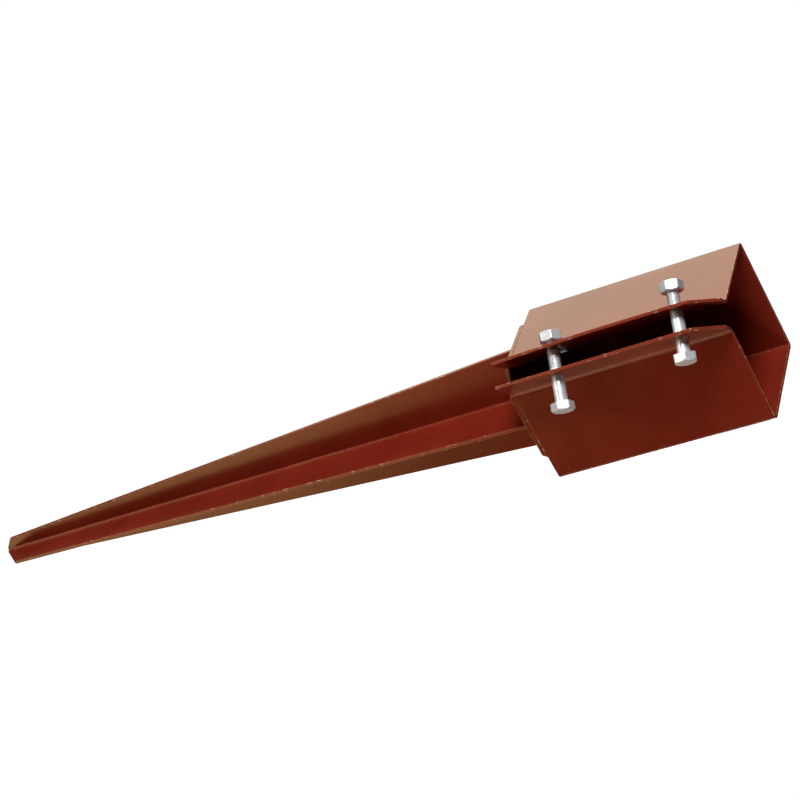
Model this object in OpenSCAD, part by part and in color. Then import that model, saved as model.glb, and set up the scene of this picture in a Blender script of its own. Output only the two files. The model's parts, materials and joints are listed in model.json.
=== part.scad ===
// Drive-in post anchor spike with a bolt-grip socket for a square timber post.
// A folded sheet-steel socket is split at one corner, where two clamp flanges stand
// out and two loose bolts with nuts pass through them. The socket stands on a base
// plate, and a cross-shaped spike made of two folded angles is welded under it.
// The origin is the middle of the post seat, +Z points out of the socket's mouth,
// and the split corner lies at -X -Y.

/* [Post and socket] */
// Side of the square post that the socket takes
post_w = 75; // [60:1:100]
// Room between the post and the socket wall, on each side
post_clearance = 1; // [0.5:0.25:3]
// Thickness of the socket sheet
sheet_t = 2; // [1.5:0.25:2.5]
// Height of the socket, with its base plate
socket_h = 150; // [110:5:200]
// Inside radius of the three folded corners
corner_r = 1; // [0.5:0.25:3]

/* [Clamp flanges] */
// Free gap between the two flanges before clamping
flange_gap = 15; // [10:0.5:16]
// How far the flanges' free edges stand out past the sharp corner of the socket
flange_out = 14.2; // [13:0.1:20]
// Radius on the hollow side of the bend where a flange leaves its wall
flange_bend_r = 4; // [2:0.5:5]
// Length cut from the flanges' mouth corners, along both edges
flange_chamfer = 16; // [4:1:16]

/* [Base plate] */
// Thickness of the base plate
plate_t = 3; // [2:0.5:6]
// Length cut from the three closed corners of the base plate, along both edges
plate_corner = 20; // [6:1:26]
// Length cut from the base plate's corner at the split, along both edges
split_corner = 16; // [6:1:26]
// How far the feet of the socket's walls are let into the plate, round the seat
seat_step = 0.2; // [0.1:0.1:0.5]

/* [Spike] */
// Length of the spike under the base plate
spike_l = 447; // [300:1:700]
// Thickness of the spike's folded angles
spike_t = 2.5; // [2:0.25:4]
// How far the side arms' top corners stay inside the base plate's sides
side_arm_inset = 3.7; // [1:0.1:8]
// Reach of the two side arms from the axis, above the point
side_arm_tip = 10; // [8:0.5:15]
// Height of the slant at the side arms' ends
side_point_h = 7; // [3:0.5:30]
// How far the front and back arms' top corners stay inside the base plate's sides
front_arm_inset = 4.8; // [1:0.1:8]
// Reach of the front and back arms from the axis, above the point
front_arm_tip = 19.5; // [8:0.5:20]
// Height of the slant at the front and back arms' ends
front_point_h = 14.5; // [3:0.5:30]

/* [Bolts and nuts] */
// Diameter of the plain bolt shank
shank_d = 7.9; // [5.9:0.01:8.5]
// Radial running clearance between a shank and its nut
nut_clearance = 0.05; // [0.02:0.01:0.1]
// Length of the bolts under the head
bolt_l = 45; // [45:5:60]
// Width of the bolt head and the nut across their flats
hex_flats = 13; // [12:0.5:14]
// Height of the bolt head
head_h = 5.3; // [4:0.1:6.5]
// Height of the nut
nut_h = 6.5; // [5:0.1:6.8]
// Diameter of the bolt holes in the flanges
bolt_hole_d = 9; // [8.6:0.1:10]
// Distance of the bolt axes from the flanges' free edges
bolt_inset = 11.5; // [8:0.5:12]
// Distance of the upper bolt below the socket's mouth
upper_bolt_drop = 27.1; // [20:0.1:35]
// Height of the lower bolt above the post seat
lower_bolt_z = 37.5; // [20:0.1:50]
// Gap between the upper bolt's head and its flange
upper_head_gap = 9.1; // [0:0.1:17]
// Gap between the lower bolt's head and its flange
lower_head_gap = 16.6; // [0:0.1:17]
// Turn of the upper nut about its bolt
upper_nut_turn = -5; // [-30:1:30]
// Turn of the lower nut about its bolt
lower_nut_turn = 30; // [-30:1:30]
// Turn of the upper bolt head
upper_head_turn = 20; // [-30:1:30]
// Turn of the lower bolt head
lower_head_turn = 0; // [-30:1:30]

/* [Welds] */
// Leg of the welds that join the two spike angles
seam_leg = 4; // [3.5:0.25:6]
// Length of each stitch of the spike seam
stitch_l = 40; // [15:5:45]
// Number of stitches on each side of the spike
stitches = 5; // [2:1:5]
// Leg of the fillet welds under the base plate
base_weld_leg = 3; // [2:0.25:5]
// Plain length left at the outer end of each fillet weld under the base plate
base_weld_gap = 4.7; // [2:0.1:6]

/* [Hidden] */
$fn = 96;
// How far a cutting shape runs past what it cuts
eps = 1;
// Steps in each bend of the sheet
bend_steps = 8;

oxide_red = [0.46, 0.17, 0.11];
dark_red = [0.36, 0.12, 0.09];
weld_red = [0.40, 0.15, 0.11];
zinc = [0.80, 0.82, 0.83];

// Socket: half width inside and outside, and the height of its mouth over the seat
socket_inner = post_w / 2 + post_clearance;
socket_half = socket_inner + sheet_t;
mouth_z = socket_h - plate_t;

// Flanges: the direction that they point in, and their two faces beside the split
split_angle = 225;
flange_inner = flange_gap / 2;
flange_outer = flange_inner + sheet_t;
flange_reach = sqrt(2) * socket_half + flange_out;
// Centre of the bend between the front wall and its flange
bend_y = -socket_half - flange_bend_r;
bend_x = bend_y + (flange_outer + flange_bend_r) * sqrt(2);

// Spike: the fold's outer radius puts opposite arms in one plane, so that the backs
// of the two angles touch along the spike's axis
arm_half = spike_t / 2;
fold_outer = arm_half / (1 - sqrt(0.5));
fold_inner = fold_outer - spike_t;
fold_c = fold_outer * sqrt(0.5);
side_arm_top = socket_half - side_arm_inset;
front_arm_top = socket_half - front_arm_inset;
spike_top = -plate_t;
spike_end = spike_top - spike_l;
stitch_pitch = (spike_l - stitch_l) / stitches;
base_weld_from = fold_c + seam_leg;
base_weld_to = min(side_arm_top, front_arm_top) - base_weld_gap;

// Bolts: distance of their axes from the socket's axis, corner diameter of the
// hexagons, and bearing faces along the bolt axis
bolt_reach = flange_reach - bolt_inset;
upper_bolt_z = mouth_z - upper_bolt_drop;
hex_corners = hex_flats / cos(30);
hex_chamfer_r = hex_flats * 0.475;
shank_r = shank_d / 2;
shank_chamfer = 1;
upper_bearing = -flange_outer - upper_head_gap;
lower_bearing = -flange_outer - lower_head_gap;

// Points of an arc
function arc(centre, r, from, to) =
    [for (i = [0:bend_steps]) centre + r * [cos(from + (to - from) * i / bend_steps),
                                            sin(from + (to - from) * i / bend_steps)]];
function reversed(points) = [for (i = [len(points) - 1:-1:0]) points[i]];
function swapped(points) = [for (p = points) [p[1], p[0]]];

// Bend and flange at the end of the front wall, on the face at a depth into the sheet
function flange_path(depth) =
    let (beside = flange_outer - depth)
    concat([sqrt(0.5) * [beside - flange_reach, -beside - flange_reach]],
           arc([bend_x, bend_y], flange_bend_r + depth, 135, 90));

// Three folded corners, on the face at a depth into the sheet
function corner_path(depth) =
    let (r = corner_r + sheet_t, c = socket_half - r)
    concat(arc([c, -c], r - depth, -90, 0), arc([c, c], r - depth, 0, 90),
           arc([-c, c], r - depth, 90, 180));

// The whole sheet from one flange's free edge to the other's
function sheet_path(depth) =
    concat(flange_path(depth), corner_path(depth), reversed(swapped(flange_path(depth))));

// Part of a ring between two radii and two angles less than a half turn apart
module ring_sector(r_in, r_out, from, to) {
    far = 2 * r_out;
    intersection() {
        difference() {
            circle(r_out);
            circle(r_in);
        }
        polygon([[0, 0], far * [cos(from), sin(from)], far * [cos(to), sin(to)]]);
    }
}

// Moves a shape that stands on XY to a bolt's axis, pointing from the head to the nut
module on_bolt_axis(z, along) {
    rotate([0, 0, split_angle]) translate([bolt_reach, -along, z]) rotate([90, 0, 0]) children();
}

module socket() {
    color(oxide_red) difference() {
        translate([0, 0, -seat_step]) linear_extrude(mouth_z + seat_step)
            polygon(concat(sheet_path(0), reversed(sheet_path(sheet_t))));
        // Mouth corners of the flanges
        rotate([0, 0, split_angle]) rotate([90, 0, 0])
            linear_extrude(4 * flange_outer, center = true)
                polygon([[flange_reach + eps, mouth_z - flange_chamfer - eps],
                         [flange_reach + eps, mouth_z + eps],
                         [flange_reach - flange_chamfer - eps, mouth_z + eps]]);
        for (z = [upper_bolt_z, lower_bolt_z])
            on_bolt_axis(z, -2 * flange_outer) cylinder(d = bolt_hole_d, h = 4 * flange_outer);
    }
}

// Square with cut corners, whose sides stand at a distance from the axis
module plate_outline(side) {
    h = socket_half;
    closed = h - plate_corner;
    split = h - split_corner;
    intersection() {
        polygon([[h, -closed], [h, closed], [closed, h], [-closed, h],
                 [-h, closed], [-h, -split], [-split, -h], [closed, -h]]);
        square(2 * side, center = true);
    }
}

// Plate with its post seat standing up inside the socket's walls
module base_plate() {
    color(dark_red) translate([0, 0, -plate_t]) {
        linear_extrude(plate_t - seat_step) plate_outline(socket_half);
        linear_extrude(plate_t) plate_outline(socket_inner);
    }
}

// One flat arm of the spike, from the fold out along -X, with its slanted end
module spike_arm(top, tip, slant_h) {
    translate([0, arm_half, 0]) rotate([90, 0, 0]) linear_extrude(spike_t)
        polygon([[-fold_c, spike_top], [-top, spike_top], [-tip, spike_end + slant_h],
                 [-fold_c, spike_end]]);
}

// Angle folded from one plate: a side arm along -X and a front arm along -Y
module spike_angle() {
    spike_arm(side_arm_top, side_arm_tip, side_point_h);
    mirror([1, -1, 0]) spike_arm(front_arm_top, front_arm_tip, front_point_h);
    translate([0, 0, spike_end]) linear_extrude(spike_l)
        translate([-fold_c, -fold_c]) ring_sector(fold_inner, fold_outer, 0, 90);
}

module front_spike_angle() {
    color(oxide_red) spike_angle();
}

module rear_spike_angle() {
    color(oxide_red) rotate([0, 0, 180]) spike_angle();
}

// Section of a seam weld in the groove between the arms along -X and +Y
module seam_section() {
    far = arm_half + seam_leg;
    difference() {
        polygon([[0, 0], [-fold_c, arm_half], [-far, arm_half], [-arm_half, far],
                 [-arm_half, fold_c]]);
        circle(arm_half);
        for (side = [-1, 1]) translate([side * fold_c, side * fold_c]) circle(fold_outer);
    }
}

module seam_welds() {
    color(weld_red) for (turn = [0, 180], i = [0:stitches - 1])
        translate([0, 0, spike_top - base_weld_leg - (i + 1) * stitch_pitch])
            rotate([0, 0, turn]) linear_extrude(stitch_l) seam_section();
}

// Fillet along one face of an arm, under the base plate
module base_fillet() {
    translate([-base_weld_to, -arm_half, spike_top])
        rotate([0, 90, 0]) linear_extrude(base_weld_to - base_weld_from)
            polygon([[0, 0], [base_weld_leg, 0], [0, -base_weld_leg]]);
}

module base_welds() {
    color(weld_red) for (turn = [0:90:270]) rotate([0, 0, turn]) {
        base_fillet();
        mirror([0, 1, 0]) base_fillet();
    }
}

// Hexagon from z = 0 to z = h, chamfered at its far end or at both ends
module hex_block(h, turn, both = false) {
    far = hex_corners / 2 + eps;
    slope = (far - hex_chamfer_r) * tan(30);
    intersection() {
        rotate(turn) cylinder(d = hex_corners, h = h, $fn = 6);
        rotate_extrude() polygon([
            [0, 0], [both ? hex_chamfer_r : far, 0], [far, both ? slope : 0],
            [far, h - slope], [hex_chamfer_r, h], [0, h]]);
    }
}

// Hexagon bolt: the head's bearing face at z = 0 and the shank along +Z
module hex_bolt(turn) {
    mirror([0, 0, 1]) hex_block(head_h, turn);
    rotate_extrude() polygon([[0, -eps], [shank_r, -eps], [shank_r, bolt_l - shank_chamfer],
                              [shank_r - shank_chamfer, bolt_l], [0, bolt_l]]);
}

// Nut with a plain running bore, from z = 0 up
module hex_nut(turn) {
    difference() {
        hex_block(nut_h, turn, both = true);
        translate([0, 0, -eps]) cylinder(r = shank_r + nut_clearance, h = nut_h + 2 * eps);
    }
}

module upper_bolt() {
    color(zinc) on_bolt_axis(upper_bolt_z, upper_bearing) hex_bolt(upper_head_turn);
}

module lower_bolt() {
    color(zinc) on_bolt_axis(lower_bolt_z, lower_bearing) hex_bolt(lower_head_turn);
}

module upper_nut() {
    color(zinc) on_bolt_axis(upper_bolt_z, upper_bearing + bolt_l - nut_h)
        hex_nut(upper_nut_turn);
}

module lower_nut() {
    color(zinc) on_bolt_axis(lower_bolt_z, lower_bearing + bolt_l - nut_h)
        hex_nut(lower_nut_turn);
}

socket();
base_plate();
front_spike_angle();
rear_spike_angle();
seam_welds();
base_welds();
upper_bolt();
upper_nut();
lower_bolt();
lower_nut();
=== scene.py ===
import json
import math

import bmesh
import bpy
from mathutils import Matrix, Vector, noise
from mathutils.geometry import delaunay_2d_cdt


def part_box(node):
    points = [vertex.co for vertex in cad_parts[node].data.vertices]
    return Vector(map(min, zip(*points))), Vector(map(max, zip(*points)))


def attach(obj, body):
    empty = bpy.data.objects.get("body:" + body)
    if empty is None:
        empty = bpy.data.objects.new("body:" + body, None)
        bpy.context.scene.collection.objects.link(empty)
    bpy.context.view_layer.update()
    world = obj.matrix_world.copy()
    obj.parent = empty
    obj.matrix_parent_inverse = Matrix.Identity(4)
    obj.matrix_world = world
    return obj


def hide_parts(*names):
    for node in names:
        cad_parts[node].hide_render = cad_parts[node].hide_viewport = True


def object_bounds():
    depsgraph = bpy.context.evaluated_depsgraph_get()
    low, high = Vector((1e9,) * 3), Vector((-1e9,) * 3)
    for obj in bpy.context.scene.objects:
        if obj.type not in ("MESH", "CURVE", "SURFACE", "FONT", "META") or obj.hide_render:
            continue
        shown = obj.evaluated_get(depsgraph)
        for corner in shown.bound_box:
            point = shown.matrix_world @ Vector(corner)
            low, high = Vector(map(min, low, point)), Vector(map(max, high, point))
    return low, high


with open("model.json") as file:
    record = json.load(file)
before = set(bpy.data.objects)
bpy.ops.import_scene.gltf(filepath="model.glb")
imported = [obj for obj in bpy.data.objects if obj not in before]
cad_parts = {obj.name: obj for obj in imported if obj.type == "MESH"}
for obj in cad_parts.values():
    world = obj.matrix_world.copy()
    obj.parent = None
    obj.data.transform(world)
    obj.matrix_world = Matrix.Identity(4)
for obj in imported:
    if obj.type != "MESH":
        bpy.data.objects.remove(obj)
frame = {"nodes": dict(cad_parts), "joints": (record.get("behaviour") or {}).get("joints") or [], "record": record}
cad_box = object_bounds()

JOINTS = {joint["name"]: joint for joint in frame["joints"]}
BODIES = frame["record"]["behaviour"]["bodies"]
MM = 0.001
UP = Vector((0, 0, 1))

# Lengths closer than this are the same
TINY = 0.0001 * MM

# Sheet metal and bolts, as in the CAD source
SHEET = 2 * MM
SPLIT_GAP = 15 * MM
CORNER_FOLD = 1 * MM
CHAMFER = 16 * MM
PLATE_CORNER = 20 * MM
SPLIT_CORNER = 16 * MM
SIDE_TIP, SIDE_SLANT = 10 * MM, 7 * MM
FRONT_TIP, FRONT_SLANT = 19.5 * MM, 14.5 * MM
HOLE_RADIUS = 4.5 * MM
BOLT_LENGTH = 45 * MM
SHANK_RADIUS = 3.95 * MM

# Sheet details that only the looks have
FLANGE_BEND = 7 * MM
SHEET_LIP = 0.45 * MM
PLATE_LIP = 0.5 * MM
WAVE, WAVE_LENGTH = 0.16 * MM, 45 * MM
FIN_WAVES, FIN_WAVE_LENGTH = 1.6, 55 * MM
STIFF_FOLD = 12 * MM
LEAN, LEAN_HEIGHT = 1.8 * MM, 80 * MM

# Weld beads: lengths along them, then shares of their size
BEAD_STEP = 0.4 * MM
BEAD_RIPPLE = 1.7 * MM
BEAD_DRIFT = 6 * MM
BEAD_END = 0.3
BEAD_BULGE, BEAD_RIPPLE_BULGE = 0.10, 0.07
BEAD_CHANGE = 0.06

# Threads; the crest's half width and the flank's width are shares of the pitch
THREAD_PITCH = 1.25 * MM
THREAD_DEPTH = 0.68 * MM
THREAD_LENGTH = 24 * MM
THREAD_CREST, THREAD_FLANK = 0.07, 0.33
THREAD_PLAY = 0.06 * MM

# Bolt and nut details that only the looks have
NUT_MOUTH = 0.35 * MM
BOLT_TIP = 1 * MM
RUN_IN = 1.5 * MM
HEX_EDGE = 0.1 * MM
HEAD_FILLET = 0.4 * MM
HEX_SHARPNESS = 60
HEX_CHAMFER = math.radians(30)
TURN_STEPS = 72

# The camera: what it looks at, from how far, its angles in degrees and its lens in millimetres
AIM = Vector((-19.7, 10.6, -101.6)) * MM
DISTANCE = 1355.7 * MM
AZIMUTH, ELEVATION, ROLL = -28.31, 27.75, 73.05
LENS, SENSOR = 92.2, 36


# ---------------------------------------------------------------- outlines in a flat plane

def arc_points(centre, radius, start, end, steps):
    """Points of an arc in a plane, with both ends; angles in radians."""
    angles = [start + (end - start) * i / steps for i in range(steps + 1)]
    return [Vector((centre.x + radius * math.cos(a), centre.y + radius * math.sin(a))) for a in angles]


def rounded(corners, radius, steps=4):
    """The outline with each corner replaced by an arc."""
    corners = [Vector(corner) for corner in corners]
    out = []
    for i, corner in enumerate(corners):
        back = (corners[i - 1] - corner).normalized()
        ahead = (corners[(i + 1) % len(corners)] - corner).normalized()
        half = back.angle(ahead) / 2
        reach = radius / math.tan(half)
        centre = corner + (back + ahead).normalized() * radius / math.sin(half)
        first, last = corner + back * reach - centre, corner + ahead * reach - centre
        turn = first.angle_signed(last)
        for k in range(steps + 1):
            out.append(centre + Matrix.Rotation(-turn * k / steps, 2) @ first)
    return out


def cut_at(loop, places):
    """The loop with a point added wherever an edge crosses one of the upright lines."""
    out = []
    for i, a in enumerate(loop):
        b = loop[(i + 1) % len(loop)]
        out.append(a)
        crossed = [s for s in places if min(a.x, b.x) + TINY < s < max(a.x, b.x) - TINY]
        for s in sorted(crossed, reverse=a.x > b.x):
            out.append(a.lerp(b, (s - a.x) / (b.x - a.x)))
    return out


def split_long(loop, longest):
    """The loop with its long edges divided evenly."""
    out = []
    for i, a in enumerate(loop):
        b = loop[(i + 1) % len(loop)]
        parts = max(1, math.ceil((b - a).length / longest))
        out += [a.lerp(b, k / parts) for k in range(parts)]
    return out


def inset(loop, distance):
    """The loop moved to its left, which is into the sheet."""
    out = []
    for i, p in enumerate(loop):
        a, b = p - loop[i - 1], loop[(i + 1) % len(loop)] - p
        left_a = Vector((-a.y, a.x)).normalized()
        left_b = Vector((-b.y, b.x)).normalized()
        middle = (left_a + left_b).normalized()
        out.append(p + middle * distance / middle.dot(left_a))
    return out


def inside(point, loop):
    """Whether a point lies inside a closed loop."""
    odd = False
    for i, a in enumerate(loop):
        b = loop[i - 1]
        if (a.y > point.y) != (b.y > point.y):
            odd ^= point.x < a.x + (b.x - a.x) * (point.y - a.y) / (b.y - a.y)
    return odd


def gap_to(point, loop):
    """Distance from a point to the nearest of a loop's corners."""
    return min((point - p).length for p in loop)


# ---------------------------------------------------------------- surfaces

def join_rows(bm, rows, closed=True):
    """Skins rows of vertices with four-sided faces; closed rows meet their own start."""
    for lower, upper in zip(rows, rows[1:]):
        for i in range(0 if closed else 1, len(lower)):
            bm.faces.new((lower[i - 1], lower[i], upper[i], upper[i - 1]))


def add_piece(name, bm, material, body, node):
    """Makes an object of a mesh, smooth but with flat faces kept flat, that stands for a CAD node."""
    mesh = bpy.data.meshes.new(name)
    bm.to_mesh(mesh)
    bm.free()
    mesh.shade_smooth()
    mesh.materials.append(material)
    piece = bpy.data.objects.new(name, mesh)
    bpy.context.scene.collection.objects.link(piece)
    weighted = piece.modifiers.new("flat faces stay flat", "WEIGHTED_NORMAL")
    weighted.weight = 100
    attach(piece, body)
    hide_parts(node)
    return piece


# ---------------------------------------------------------------- folded sheet metal

def walk(path, start, heading, s):
    """Point and outward normal at a length s along a path of (length, turn) stretches."""
    point, angle = Vector(start), heading
    for length, turn in path:
        step = min(s, length)
        bend = turn * step / length
        if turn:
            before = Vector((math.sin(angle), -math.cos(angle)))
            after = Vector((math.sin(angle + bend), -math.cos(angle + bend)))
            point += (after - before) * length / turn
        else:
            point += Vector((math.cos(angle), math.sin(angle))) * step
        angle += bend
        s -= step
    return point, Vector((math.sin(angle), -math.cos(angle)))


def crease_places(path, steps=7):
    """Lengths along a path at which its bends need edges."""
    places, at = [], 0
    for length, turn in path:
        if turn:
            places += [at + length * k / steps for k in range(steps + 1)]
        at += length
    return places


def lip_profile(thickness, lip, steps=4):
    """(inset, offset) pairs round the edge of a sheet, from one face to the other."""
    angles = [math.pi / 2 * k / steps for k in range(steps + 1)]
    half = thickness / 2
    arc = [(lip * (1 - math.sin(a)), half - lip * (1 - math.cos(a))) for a in angles]
    return arc + [(x, -w) for x, w in reversed(arc)]


def ripple(x, y, seed, scale=WAVE_LENGTH):
    """A shallow wave of hand-folded sheet, always inwards."""
    return -WAVE * (0.5 + 0.5 * noise.noise(Vector((x / scale, y / scale, seed))))


def fill_points(outline, rim, holes, creases, spacing):
    """Points over the inside of a flat sheet: a grid that keeps off rims and creases, then the creases."""
    low = Vector((min(p.x for p in outline), min(p.y for p in outline)))
    high = Vector((max(p.x for p in outline), max(p.y for p in outline)))
    crease_room, rim_room, crease_end_room = spacing / 3, spacing * 0.55, spacing * 0.3
    columns = round((high.x - low.x) / spacing)
    heights = round((high.y - low.y) / spacing)
    out = []
    for i in range(1, columns):
        for j in range(1, heights):
            p = Vector((low.x + (high.x - low.x) * i / columns, low.y + (high.y - low.y) * j / heights))
            if any(abs(p.x - s) < crease_room for s in creases):
                continue
            in_hole = any(inside(p, hole) for hole in holes)
            if inside(p, outline) and not in_hole and gap_to(p, rim) > rim_room:
                out.append(p)
    for s in creases:
        for j in range(1, heights):
            p = Vector((s, low.y + (high.y - low.y) * j / heights))
            if inside(p, outline) and gap_to(p, rim) > crease_end_room:
                out.append(p)
    return out


def sheet_mesh(outline, holes, creases, place, thickness, lip, spacing):
    """A sheet with rounded edges. place(s, z, w) puts a flat point, w off the middle, in space."""
    bm = bmesh.new()
    outline = split_long(cut_at(outline, creases), spacing)
    profile = lip_profile(thickness, lip)
    rim, front, back, edges = [], [], [], []
    for loop in [outline] + holes:
        rows = [[bm.verts.new(place(p.x, p.y, w)) for p in inset(loop, d)] for d, w in profile]
        join_rows(bm, rows)
        count, first = len(loop), len(rim)
        edges += [(first + i, first + (i + 1) % count) for i in range(count)]
        rim += inset(loop, lip)
        front += rows[0]
        back += rows[-1]
    for s in creases:
        ends = [i for i, p in enumerate(rim) if abs(p.x - s) < TINY]
        ends.sort(key=lambda i: rim[i].y)
        edges.append((ends[0], ends[-1]))
    flat = rim + fill_points(outline, rim, holes, creases, spacing)
    inside_only, tolerance = 1, 1e-9
    points, _, faces, sources, _, _ = delaunay_2d_cdt(flat, edges, [], inside_only, tolerance)
    # Both faces: points on a rim are the lip's own, and the others are new
    for verts, w, turned in ((front, thickness / 2, False), (back, -thickness / 2, True)):
        made = {}
        for i, p in enumerate(points):
            known = [k for k in sources[i] if k < len(rim)]
            made[i] = verts[known[0]] if known else bm.verts.new(place(p.x, p.y, w))
        for face in faces:
            middle = sum((points[i] for i in face), Vector((0, 0))) / len(face)
            if any(inside(middle, hole) for hole in holes):
                continue
            corners = [made[i] for i in face]
            bm.faces.new(corners[::-1] if turned else corners)
    bmesh.ops.recalc_face_normals(bm, faces=bm.faces)
    return bm


def socket_sheet(material):
    """The folded and split socket with its clamp flanges and bolt holes."""
    low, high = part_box("socket")
    half, foot, height = high.x, low.z, high.z
    outer = SPLIT_GAP / 2 + SHEET
    # How far the flanges' tips stand from the axis, along the diagonal
    reach = -low.y * math.sqrt(2) - outer
    # The middle of the bend between the front wall and its flange, outside them both
    bend_y = -half - FLANGE_BEND
    bend_x = bend_y + (outer + FLANGE_BEND) * math.sqrt(2)
    fold = CORNER_FOLD + SHEET / 2
    straight = half - SHEET / 2 - fold
    flange = (reach + (bend_x + bend_y) / math.sqrt(2), 0)
    bend = ((FLANGE_BEND + SHEET / 2) * math.pi / 4, -math.pi / 4)
    corner = (fold * math.pi / 2, math.pi / 2)
    split_wall, wall = (straight - bend_x, 0), (2 * straight, 0)
    path = [flange, bend, split_wall, corner, wall, corner, wall, corner, split_wall, bend, flange]
    total = sum(length for length, _ in path)
    away, across = Vector((-1, -1)).normalized(), Vector((1, -1)).normalized()
    start = away * reach + across * (outer - SHEET / 2)

    def place(s, z, w):
        point, normal = walk(path, start, math.pi / 4, s)
        point += normal * (w + ripple(s, z, seed=3.1))
        up_flange = max(0, 1 - (total - s) / flange[0])
        point += across * LEAN * up_flange * max(0, 1 - z / LEAN_HEIGHT) ** 2
        return Vector((point.x, point.y, z))

    corners = [(0, foot), (total, foot), (total, height - CHAMFER), (total - CHAMFER, height),
               (CHAMFER, height), (0, height - CHAMFER)]
    holes = []
    for joint in ("upper_bolt_spin", "lower_nut_spin"):
        pos = Vector(JOINTS[joint]["pos_m"])
        edge = reach - Vector((pos.x, pos.y)).length
        for s in (edge, total - edge):
            holes.append(arc_points(Vector((s, pos.z)), HOLE_RADIUS, 2 * math.pi, 0, steps=32)[:-1])
    outline = rounded(corners, radius=1.5 * MM)
    bm = sheet_mesh(outline, holes, crease_places(path), place, SHEET, SHEET_LIP, spacing=7 * MM)
    return add_piece("socket_sheet", bm, material, "spike_body", "socket")


def base_plate_piece(material):
    """The plate with cut corners under the socket."""
    low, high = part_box("base_plate")
    half, closed, split = high.x, high.x - PLATE_CORNER, high.x - SPLIT_CORNER
    corners = [(half, -closed), (half, closed), (closed, half), (-closed, half),
               (-half, closed), (-half, -split), (-split, -half), (closed, -half)]
    middle = (low.z + high.z) / 2

    def place(x, y, w):
        return Vector((x, y, middle + w))

    outline = rounded(corners, radius=0.8 * MM)
    bm = sheet_mesh(outline, [], [], place, high.z - low.z, PLATE_LIP, spacing=9 * MM)
    return add_piece("base_plate_sheet", bm, material, "spike_body", "base_plate")


def spike_angle_piece(name, node, turn, seed, material):
    """One folded and tapered angle of the spike, turned about the spike's axis."""
    low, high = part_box("front_spike_angle")
    thick, side, front = 2 * high.x, -low.x, -low.y
    # The outer face of this fold just reaches the spike's axis, where the two angles meet
    fold = thick / 2 / (1 - math.sqrt(0.5)) * math.sqrt(0.5)
    path = [(side - fold, 0), (fold * math.pi / 2, -math.pi / 2), (front - fold, 0)]
    total = sum(length for length, _ in path)
    around = Matrix.Rotation(turn, 3, "Z")

    def place(s, z, w):
        point, normal = walk(path, Vector((-side, 0)), 0, s)
        from_fold = min(1, abs(s - side) / STIFF_FOLD)
        point += normal * (w + FIN_WAVES * ripple(s, z, seed, FIN_WAVE_LENGTH) * from_fold)
        return around @ Vector((point.x, point.y, z))

    corners = [(0, high.z), (side - SIDE_TIP, low.z + SIDE_SLANT), (side - fold, low.z),
               (total - front + fold, low.z), (total - front + FRONT_TIP, low.z + FRONT_SLANT),
               (total, high.z)]
    outline = rounded(corners, radius=1.2 * MM)
    bm = sheet_mesh(outline, [], crease_places(path, steps=10), place, thick, SHEET_LIP, spacing=8 * MM)
    return add_piece(name, bm, material, "spike_body", node)


# ---------------------------------------------------------------- welds

def bead(bm, start, end, side_a, side_b, leg, seed):
    """A rippled weld bead in the corner between two faces, with rounded ends."""
    length = (end - start).length
    steps, across = max(12, round(length / BEAD_STEP)), 8
    rings = []
    for j in range(steps + 1):
        along = length * j / steps
        from_end = min(along, length - along)
        cap = math.sqrt(max(0.0, 1 - (1 - min(1, from_end / leg)) ** 2))
        wave = 0.5 + 0.5 * math.cos(2 * math.pi * along / BEAD_RIPPLE)
        drift = 1 - BEAD_CHANGE + BEAD_CHANGE * noise.noise(Vector((along / BEAD_DRIFT, seed, 0)))
        size = leg * (BEAD_END + (1 - BEAD_END) * cap) * drift
        root = start.lerp(end, j / steps)
        ring = []
        for i in range(across + 1):
            t = i / across
            bulge = math.sin(math.pi * t) * (BEAD_BULGE + BEAD_RIPPLE_BULGE * wave) * cap
            out = side_a * (1 - t) + side_b * t + (side_a + side_b) * bulge
            ring.append(bm.verts.new(root + out * size))
        ring.append(bm.verts.new(root))
        rings.append(ring)
    join_rows(bm, rings)
    bm.faces.new(rings[0])
    bm.faces.new(rings[-1][::-1])


def solid_boxes(node):
    """Lowest and highest corner of each separate solid in a CAD node, in a steady order."""
    bm = bmesh.new()
    bm.from_mesh(frame["nodes"][node].data)
    bmesh.ops.remove_doubles(bm, verts=bm.verts, dist=0.001 * MM)
    left, boxes = set(bm.verts), []
    while left:
        group, todo = [], [left.pop()]
        while todo:
            v = todo.pop()
            group.append(v.co.copy())
            for e in v.link_edges:
                other = e.other_vert(v)
                if other in left:
                    left.remove(other)
                    todo.append(other)
        boxes.append((Vector(map(min, *group)), Vector(map(max, *group))))
    bm.free()
    return sorted(boxes, key=lambda box: [round(c, 5) for c in (*box[0], *box[1])])


def seam_welds_piece(material):
    """The stitches in the two grooves where the spike's angles stand back to back."""
    _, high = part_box("front_spike_angle")
    half = high.x
    bm = bmesh.new()
    for seed, (low, top) in enumerate(solid_boxes("seam_welds")):
        sign = -1 if low.x < 0 else 1
        leg = max(abs(low.x), abs(top.x)) - half
        start, end = Vector((sign * half, -sign * half, low.z)), Vector((sign * half, -sign * half, top.z))
        bead(bm, start, end, Vector((sign, 0, 0)), Vector((0, -sign, 0)), leg, seed)
    bmesh.ops.recalc_face_normals(bm, faces=bm.faces)
    return add_piece("seam_weld_beads", bm, material, "spike_body", "seam_welds")


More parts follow.
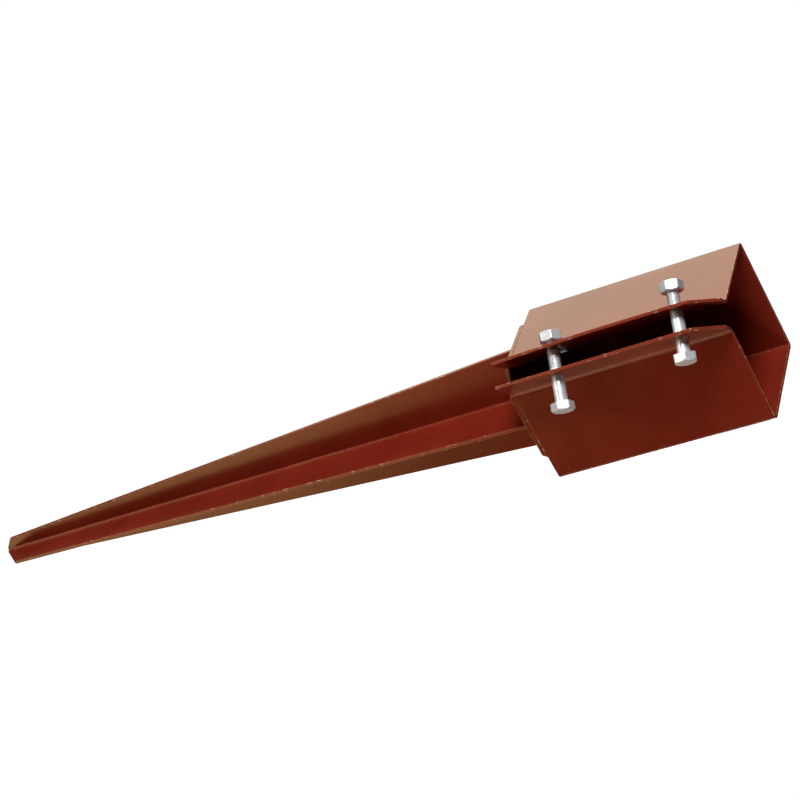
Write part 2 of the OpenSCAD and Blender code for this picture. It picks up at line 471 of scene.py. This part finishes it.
def base_welds_piece(material):
    """The fillets between the spike's arms and the base plate."""
    bm = bmesh.new()
    for seed, (low, high) in enumerate(solid_boxes("base_welds"), start=40):
        across = 1 if high.x - low.x > high.y - low.y else 0
        out = Vector((0, 0, 0))
        out[across] = math.copysign(1, low[across] + high[across])
        face = low[across] if out[across] > 0 else high[across]
        start, end = low.copy(), high.copy()
        start[across] = end[across] = face
        start.z = high.z
        bead(bm, start, end, out, -UP, high.z - low.z, seed)
    bmesh.ops.recalc_face_normals(bm, faces=bm.faces)
    return add_piece("base_weld_beads", bm, material, "spike_body", "base_welds")


# ---------------------------------------------------------------- bolts and nuts

def body_with(node):
    """The name of the body that holds a CAD node."""
    return next(body for body, nodes in BODIES.items() if node in nodes)


def bolt_frame(joint):
    """A point on a bolt's axis, the way from head to nut, alike for both bolts, and two ways square to it."""
    along = Vector(JOINTS["upper_bolt_spin"]["axis"]).normalized()
    return Vector(JOINTS[joint]["pos_m"]), along, UP, along.cross(UP)


def reach_along(node, axes):
    """Lowest and highest position of a CAD node along its bolt's axis."""
    origin, along, _, _ = axes
    places = [(v.co - origin).dot(along) for v in frame["nodes"][node].data.vertices]
    return min(places), max(places)


def hex_shape(node, axes):
    """Half the width across the flats of a CAD node's hexagon, and the angle of one corner."""
    origin, along, u, v = axes
    places = [vertex.co - origin for vertex in frame["nodes"][node].data.vertices]
    far = max((p - along * p.dot(along) for p in places), key=lambda out: round(out.length, 7))
    return far.length * math.cos(math.pi / 6), math.atan2(far.dot(v), far.dot(u))


def hex_radius(angle, flats, corner):
    """Radius of a hexagon with slightly rounded corners."""
    parts = [abs(math.cos(angle - corner - math.pi / 6 - k * math.pi / 3)) / flats for k in range(3)]
    return sum(p ** HEX_SHARPNESS for p in parts) ** (-1 / HEX_SHARPNESS)


def thread_radius(z, angle, major):
    """Radius of the right-hand thread at a place along and round the bolt."""
    phase = (z / THREAD_PITCH - angle / (2 * math.pi)) % 1
    down = min(1, max(0, (abs(phase - 0.5) - THREAD_CREST) / THREAD_FLANK))
    return major - THREAD_DEPTH * down


def turned_rows(bm, axes, rings, places):
    """Rows of vertices round an axis, one for each function angle -> (z, radius)."""
    origin, along, u, v = axes
    rows = []
    for ring in rings:
        row = []
        for i in range(places):
            angle = 2 * math.pi * i / TURN_STEPS
            z, r = ring(angle)
            out = u * math.cos(angle) + v * math.sin(angle)
            row.append(bm.verts.new(origin + along * z + out * r))
        rows.append(row)
    return rows


def ring_surface(bm, axes, rings):
    """Skins rings into a turned shape, open at both ends."""
    rows = turned_rows(bm, axes, rings, TURN_STEPS)
    join_rows(bm, rows)
    return rows


def helix_surface(bm, axes, rings):
    """Like ring_surface, for rings that end one pitch on from where they start."""
    join_rows(bm, turned_rows(bm, axes, rings, TURN_STEPS + 1), closed=False)


def level(z, r):
    """A plain ring."""
    return lambda angle: (z, r)


def hex_rings(z_face, z_far, flats, corner, direction):
    """Rings from a hexagon's chamfered face, at z_face, down its sides to z_far."""
    face_r = flats * 0.93
    slope = math.tan(HEX_CHAMFER)
    soft = 0.12 * MM

    def on_cone(trim, drop):
        def ring(angle):
            r = hex_radius(angle, flats, corner) - trim
            return z_face - direction * (max(0, r - face_r) * slope + drop), r
        return ring

    def side_end(angle):
        return z_far, hex_radius(angle, flats, corner)

    return [level(z_face, face_r - soft), level(z_face - direction * soft * 0.3, face_r),
            on_cone(soft, 0), on_cone(0, soft), side_end]


def threaded_rings(z_start, z_end, radius_at):
    """Rings that follow the thread's own helix between two ends."""
    per_turn = 10
    first = math.floor(z_start / THREAD_PITCH) - 1
    last = math.ceil(z_end / THREAD_PITCH) + 1
    rings = []
    for k in range((last - first) * per_turn + 1):
        base = (first + k / per_turn) * THREAD_PITCH

        def ring(angle, base=base):
            z = min(z_end, max(z_start, base + THREAD_PITCH * angle / (2 * math.pi)))
            return z, radius_at(z, angle)

        rings.append(ring)
    return rings


def close_mesh(bm):
    """Joins touching rows and drops faces without area."""
    bmesh.ops.remove_doubles(bm, verts=bm.verts, dist=0.002 * MM)
    bmesh.ops.dissolve_degenerate(bm, edges=bm.edges, dist=0.001 * MM)
    bmesh.ops.recalc_face_normals(bm, faces=bm.faces)


def bolt_piece(name, node, joint, material):
    """A hexagon bolt with a plain neck and a rolled thread."""
    axes = bolt_frame(joint)
    bottom, end = reach_along(node, axes)
    flats, corner = hex_shape(node, axes)
    bearing = end - BOLT_LENGTH
    thread_from = end - THREAD_LENGTH

    def shank(z, angle):
        depth = SHANK_RADIUS - thread_radius(z, angle, SHANK_RADIUS)
        run_in = min(1, max(0, (z - thread_from) / RUN_IN))
        return min(SHANK_RADIUS - depth * run_in, SHANK_RADIUS - max(0, z - end + BOLT_TIP))

    def head_end(angle):
        return bearing, hex_radius(angle, flats, corner) - HEX_EDGE

    head = hex_rings(bottom, bearing - HEX_EDGE, flats, corner, -1) + [head_end]
    neck = [level(bearing, SHANK_RADIUS + HEAD_FILLET),
            level(bearing + 0.25 * HEAD_FILLET, SHANK_RADIUS + 0.3 * HEAD_FILLET),
            level(bearing + HEAD_FILLET, SHANK_RADIUS), level(thread_from, SHANK_RADIUS)]
    bm = bmesh.new()
    rows = ring_surface(bm, axes, head + neck)
    bm.faces.new(rows[0][::-1])
    helix_surface(bm, axes, threaded_rings(thread_from, end, shank))
    close_mesh(bm)
    bmesh.ops.contextual_create(bm, geom=[edge for edge in bm.edges if edge.is_boundary])
    close_mesh(bm)
    return add_piece(name, bm, material, body_with(node), node)


def nut_piece(name, node, joint, material):
    """A hexagon nut, chamfered on both faces, with a real thread inside."""
    axes = bolt_frame(joint)
    low, high = reach_along(node, axes)
    flats, corner = hex_shape(node, axes)
    widest = SHANK_RADIUS + NUT_MOUTH
    middle = (low + high) / 2

    def bore(z, angle):
        threaded = thread_radius(z, angle, SHANK_RADIUS) + THREAD_PLAY
        return max(threaded, widest - (z - low), widest - (high - z))

    bm = bmesh.new()
    upper = hex_rings(high, middle, flats, corner, 1)
    lower = hex_rings(low, middle, flats, corner, -1)[::-1]
    ring_surface(bm, axes, [level(high, widest)] + upper + lower + [level(low, widest)])
    helix_surface(bm, axes, threaded_rings(low, high, bore))
    close_mesh(bm)
    return add_piece(name, bm, material, body_with(node), node)


# ---------------------------------------------------------------- shader nodes

def add_node(tree, kind, inputs=None, **settings):
    """Adds a node, sets its properties, and fills its inputs with values or links."""
    made = tree.nodes.new(kind)
    for key, value in settings.items():
        setattr(made, key, value)
    for key, value in (inputs or {}).items():
        if isinstance(value, bpy.types.NodeSocket):
            tree.links.new(value, made.inputs[key])
        else:
            made.inputs[key].default_value = value
    return made


def object_noise(tree, scale, detail):
    """Noise in the object's own space, with features of about 1/scale metres."""
    place = add_node(tree, "ShaderNodeTexCoord").outputs["Object"]
    made = add_node(tree, "ShaderNodeTexNoise", {"Vector": place, "Scale": scale, "Detail": detail})
    return made.outputs["Fac"]


def ramp(tree, factor, low, high, low_colour=(0, 0, 0, 1), high_colour=(1, 1, 1, 1)):
    """Blends two colours between two values of a factor."""
    made = add_node(tree, "ShaderNodeValToRGB", {"Fac": factor})
    first, last = made.color_ramp.elements
    first.position, last.position = low, high
    first.color, last.color = low_colour, high_colour
    return made.outputs["Color"]


def span(tree, factor, low, high):
    """Maps a 0..1 factor to a range."""
    made = add_node(tree, "ShaderNodeMapRange", {"Value": factor, "To Min": low, "To Max": high})
    return made.outputs["Result"]


def rise(tree, value, start, end, shape="SMOOTHSTEP"):
    """0 where a value is at start, 1 where it is at end, and a slope between."""
    limits = {"Value": value, "From Min": start, "From Max": end}
    return add_node(tree, "ShaderNodeMapRange", limits, interpolation_type=shape).outputs["Result"]


def dot_product(tree, a, b):
    """The cosine between two directions."""
    return add_node(tree, "ShaderNodeVectorMath", {0: a, 1: b}, operation="DOT_PRODUCT").outputs["Value"]


def mix(tree, factor, a, b):
    """Mixes two colours."""
    made = add_node(tree, "ShaderNodeMix", {"Factor": factor, "A": a, "B": b}, data_type="RGBA")
    return made.outputs["Result"]


def edge_mask(tree, radius, start, end):
    """1 on the sharp edges of a piece and 0 on its flats."""
    bevel = add_node(tree, "ShaderNodeBevel", {"Radius": radius}, samples=4).outputs["Normal"]
    flat = add_node(tree, "ShaderNodeNewGeometry").outputs["True Normal"]
    return rise(tree, dot_product(tree, bevel, flat), start, end, shape="LINEAR")


def open_mask(tree, reach, start, end):
    """1 where a surface is open to the room and 0 deep inside the socket and the gap, where the paint gets painted
    shade.
    """
    light = add_node(tree, "ShaderNodeAmbientOcclusion", {"Distance": reach}, samples=8).outputs["AO"]
    return rise(tree, light, start, end)


def add_bump(tree, shader, height, strength, depth):
    """Roughens a shader's surface by a height factor."""
    made = add_node(tree, "ShaderNodeBump", {"Height": height, "Strength": strength, "Distance": depth})
    tree.links.new(made.outputs["Normal"], shader.inputs["Normal"])


# ---------------------------------------------------------------- materials

def new_material(name):
    """An empty node material, its node tree and its Principled shader."""
    material = bpy.data.materials.new(name)
    material.use_nodes = True
    tree = material.node_tree
    tree.nodes.clear()
    shader = add_node(tree, "ShaderNodeBsdfPrincipled")
    add_node(tree, "ShaderNodeOutputMaterial", {"Surface": shader.outputs["BSDF"]})
    return material, tree, shader


def paint_material(name, dark, light, gloss):
    """Red oxide paint: cloudy tone, soft gloss, orange peel, painted shade deep inside, and lighter edges that are
    partly thinner paint and partly painted highlight, with pale chips that also serve as painted sparkle.
    """
    material, tree, shader = new_material(name)
    # Colours of the painted shade deep inside, of thin paint with painted highlight on the edges, and of chips
    # with painted sparkle
    painted_shade, thin_paint_and_highlight, chip_and_sparkle = (0.010, 0.002, 0.002, 1), (0.50, 0.17, 0.10, 1), (0.80, 0.60, 0.52, 1)
    cloud = object_noise(tree, scale=22, detail=4)
    tone = ramp(tree, cloud, low=0.35, high=0.7, low_colour=dark, high_colour=light)
    # Sharp edges get lighter, pinker paint: partly thinner paint and partly a painted highlight
    edges = edge_mask(tree, radius=1.3 * MM, start=0.985, end=0.80)
    worn_and_highlit = mix(tree, span(tree, edges, low=0, high=0.55), tone, thin_paint_and_highlight)
    # Pale chips along the edges: partly bare-metal wear and partly painted sparkle highlights
    specks = ramp(tree, object_noise(tree, scale=260, detail=2), low=0.60, high=0.66)
    chipped_and_sparkling = add_node(tree, "ShaderNodeMath", {0: edges, 1: specks}, operation="MULTIPLY").outputs["Value"]
    worn_and_highlit = mix(tree, chipped_and_sparkling, worn_and_highlit, chip_and_sparkle)
    # Painted shade: where the surface is hidden from the room, the colour goes to near black and the reflection
    # weakens
    unshaded_mask = open_mask(tree, reach=70 * MM, start=0.04, end=0.50)
    tree.links.new(mix(tree, unshaded_mask, painted_shade, worn_and_highlit), shader.inputs["Base Color"])
    tree.links.new(span(tree, unshaded_mask, low=0, high=0.5), shader.inputs["Specular IOR Level"])
    shader.inputs["Specular Tint"].default_value = (1.0, 0.66, 0.34, 1)
    smear = object_noise(tree, scale=60, detail=3)
    tree.links.new(span(tree, smear, low=gloss, high=gloss + 0.10), shader.inputs["Roughness"])
    add_bump(tree, shader, object_noise(tree, scale=420, detail=2), strength=0.20, depth=0.2 * MM)
    return material


def zinc_material():
    """Bright zinc plate: pale metal with a cloudy satin and faint marks."""
    material, tree, shader = new_material("zinc_plate")
    cloud = object_noise(tree, scale=160, detail=4)
    dull, bright = (0.76, 0.82, 0.87, 1), (0.94, 0.97, 1.00, 1)
    tone = ramp(tree, cloud, low=0.3, high=0.75, low_colour=dull, high_colour=bright)
    tree.links.new(tone, shader.inputs["Base Color"])
    shader.inputs["Metallic"].default_value = 0.5
    marks = object_noise(tree, scale=700, detail=5)
    tree.links.new(span(tree, marks, low=0.26, high=0.46), shader.inputs["Roughness"])
    add_bump(tree, shader, marks, strength=0.12, depth=0.05 * MM)
    return material


def floor_material():
    """Plain white from above, and clear from below."""
    material, tree, shader = new_material("floor")
    shader.inputs["Base Color"].default_value = (0.02, 0.02, 0.02, 1)
    shader.inputs["Emission Color"].default_value = (1, 1, 1, 1)
    shader.inputs["Emission Strength"].default_value = 1
    clear = add_node(tree, "ShaderNodeBsdfTransparent").outputs["BSDF"]
    below = add_node(tree, "ShaderNodeNewGeometry").outputs["Backfacing"]
    sides = add_node(tree, "ShaderNodeMixShader", {"Fac": below, 1: shader.outputs["BSDF"], 2: clear})
    tree.links.new(sides.outputs["Shader"], tree.nodes["Material Output"].inputs["Surface"])
    return material


# ---------------------------------------------------------------- studio

def camera_axes():
    """The camera's right, up and back directions."""
    a, e = math.radians(AZIMUTH), math.radians(ELEVATION)
    back = Vector((math.sin(a) * math.cos(e), -math.cos(a) * math.cos(e), math.sin(e)))
    right = UP.cross(back).normalized()
    up = back.cross(right)
    roll = Matrix.Rotation(math.radians(ROLL), 3, back)
    return roll @ right, roll @ up, back


def add_camera():
    """The camera, rolled so that the upright spike lies across the picture."""
    right, up, back = camera_axes()
    data = bpy.data.cameras.new("camera")
    data.lens, data.sensor_width = LENS, SENSOR
    data.clip_start, data.clip_end = 0.05, 20
    camera = bpy.data.objects.new("camera", data)
    turn = Matrix((right, up, back)).transposed().to_4x4()
    camera.matrix_world = Matrix.Translation(AIM + back * DISTANCE) @ turn
    bpy.context.scene.collection.objects.link(camera)
    bpy.context.scene.camera = camera


def add_floor():
    """A plain white floor under the spike's point, seen by the camera only."""
    bm = bmesh.new()
    bmesh.ops.create_grid(bm, x_segments=1, y_segments=1, size=6)
    mesh = bpy.data.meshes.new("floor")
    bm.to_mesh(mesh)
    bm.free()
    mesh.materials.append(floor_material())
    floor = bpy.data.objects.new("floor", mesh)
    floor.location.z = cad_box[0].z - 1 * MM
    floor.visible_glossy = floor.visible_diffuse = floor.visible_shadow = False
    bpy.context.scene.collection.objects.link(floor)


def add_world():
    """White to the camera; to the object a dim room with a few soft bright patches."""
    right, up, back = camera_axes()
    world = bpy.data.worlds.new("studio")
    bpy.context.scene.world = world
    world.use_nodes = True
    tree = world.node_tree
    tree.nodes.clear()
    place = add_node(tree, "ShaderNodeTexCoord").outputs["Generated"]

    def patch(shade, towards, rim, core, colour):
        """Lays a round patch over a shade; rim and core are cosines of the angle from its middle."""
        cosine = dot_product(tree, place, towards.normalized())
        return mix(tree, rise(tree, cosine, rim, core), shade, colour)

    # The camera sees the table mirrored in the fins, the strip in the lower flange, the glint in the
    # bends, and the key in the wall above the flanges; the dim room and the ground are in all the rest
    dim = (0.02, 0.02, 0.02, 1)
    ground = (0.05, 0.05, 0.05, 1)
    table = (2.5, 2.1, 1.25, 1)
    strip = (1.2, 0.95, 0.65, 1)
    glint = (3.0, 2.8, 2.4, 1)
    key = (2.4, 2.65, 2.2, 1)
    shade = patch(dim, -back - 0.5 * up, 0.60, 0.92, ground)
    shade = patch(shade, -0.75 * up - 0.66 * right + 0.1 * back, 0.93, 0.967, table)
    shade = patch(shade, -0.92 * up - 0.06 * right - 0.38 * back, 0.93, 0.98, strip)
    shade = patch(shade, 0.12 * up - 0.95 * right + 0.27 * back, 0.95, 0.985, glint)
    shade = patch(shade, 0.80 * up - 0.15 * right - 0.58 * back, 0.895, 0.95, key)
    room = add_node(tree, "ShaderNodeBackground", {"Color": shade}).outputs["Background"]
    white = add_node(tree, "ShaderNodeBackground", {"Color": (1, 1, 1, 1)}).outputs["Background"]
    seen = add_node(tree, "ShaderNodeLightPath").outputs["Is Camera Ray"]
    picked = add_node(tree, "ShaderNodeMixShader", {"Fac": seen, 1: room, 2: white})
    add_node(tree, "ShaderNodeOutputWorld", {"Surface": picked.outputs["Shader"]})


def add_softbox(name, direction, size, power, distance=1.6):
    """A square area light that faces the frame's origin; metres and watts."""
    data = bpy.data.lights.new(name, "AREA")
    data.size, data.energy = size, power
    light = bpy.data.objects.new(name, data)
    light.location = direction.normalized() * distance
    light.rotation_mode = "QUATERNION"
    light.rotation_quaternion = direction.to_track_quat("Z", "Y")
    light.visible_camera = False
    bpy.context.scene.collection.objects.link(light)


def add_lights():
    """Three softboxes: a strong one to the left and weaker ones to the right and behind."""
    add_softbox("left_softbox", Vector((-0.88, -0.22, 0.33)), size=0.5, power=25)
    add_softbox("right_softbox", Vector((0.6, -0.75, 0.35)), size=0.4, power=7)
    add_softbox("back_softbox", Vector((0.7, 0.7, -0.2)), size=0.6, power=14)


# ---------------------------------------------------------------- build

red_paint = paint_material(
    "red_oxide_paint", dark=(0.175, 0.0150, 0.0070, 1), light=(0.215, 0.0215, 0.0105, 1), gloss=0.15)
weld_paint = paint_material(
    "painted_weld", dark=(0.150, 0.0135, 0.0070, 1), light=(0.190, 0.0195, 0.0100, 1), gloss=0.22)
zinc = zinc_material()

socket_sheet(red_paint)
base_plate_piece(red_paint)
spike_angle_piece("front_spike_fins", "front_spike_angle", turn=0, seed=5.2, material=red_paint)
spike_angle_piece("rear_spike_fins", "rear_spike_angle", turn=math.pi, seed=8.9, material=red_paint)
seam_welds_piece(weld_paint)
base_welds_piece(weld_paint)
bolt_piece("upper_hex_bolt", "upper_bolt", "upper_bolt_spin", zinc)
nut_piece("upper_hex_nut", "upper_nut", "upper_bolt_spin", zinc)
bolt_piece("lower_hex_bolt", "lower_bolt", "lower_nut_spin", zinc)
nut_piece("lower_hex_nut", "lower_nut", "lower_nut_spin", zinc)

add_camera()
add_floor()
add_world()
add_lights()
bpy.context.scene.view_settings.view_transform = "Standard"
